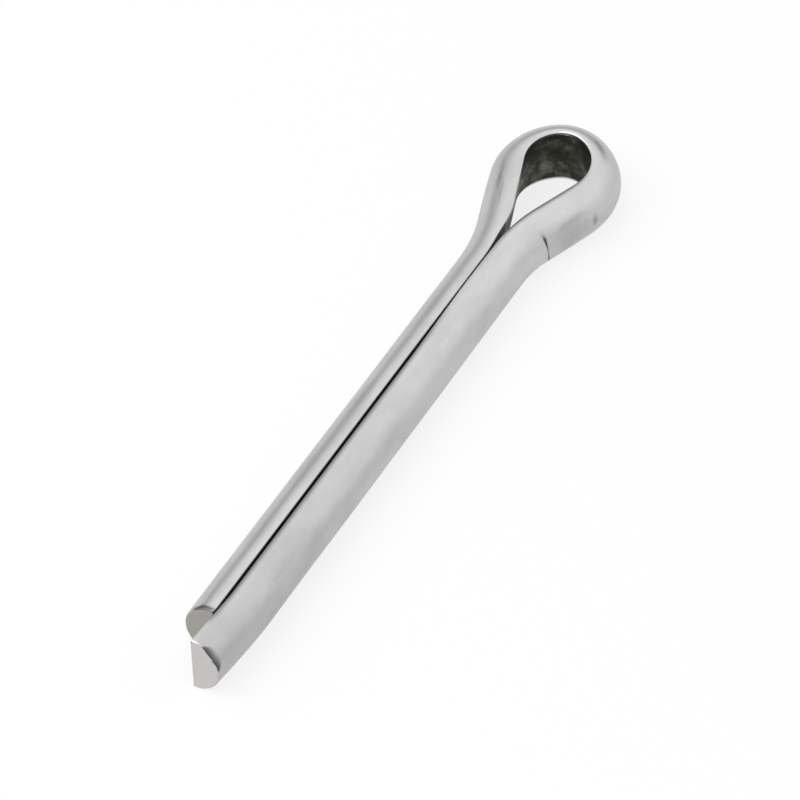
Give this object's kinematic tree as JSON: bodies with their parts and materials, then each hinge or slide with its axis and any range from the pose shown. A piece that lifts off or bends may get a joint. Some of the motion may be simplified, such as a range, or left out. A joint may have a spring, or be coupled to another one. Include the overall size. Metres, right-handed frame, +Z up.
{
  "type": "split pin",
  "caption": "Split pin bent from half-round stainless wire: flat-to-flat legs of unequal length make a round shank, and the bend is opened into a flat-lying teardrop eye.",
  "frame": {"origin": "on the shank's axis, where the round shank ends and the short leg starts to leave it towards the eye", "axes": "+X along the shank towards the eye, +Z up with the pin lying on its side, and the split between the legs is the plane Y = 0, with the short leg on the +Y side"},
  "size_m": [0.0539, 0.0092, 0.0044],
  "materials": {
    "steel": "bright drawn stainless wire, satin, with faint drawing lines and a dark unpolished inner flat in the eye"
  },
  "bodies": {
    "root": {"split_pin": "steel"}
  },
  "joints": []
}
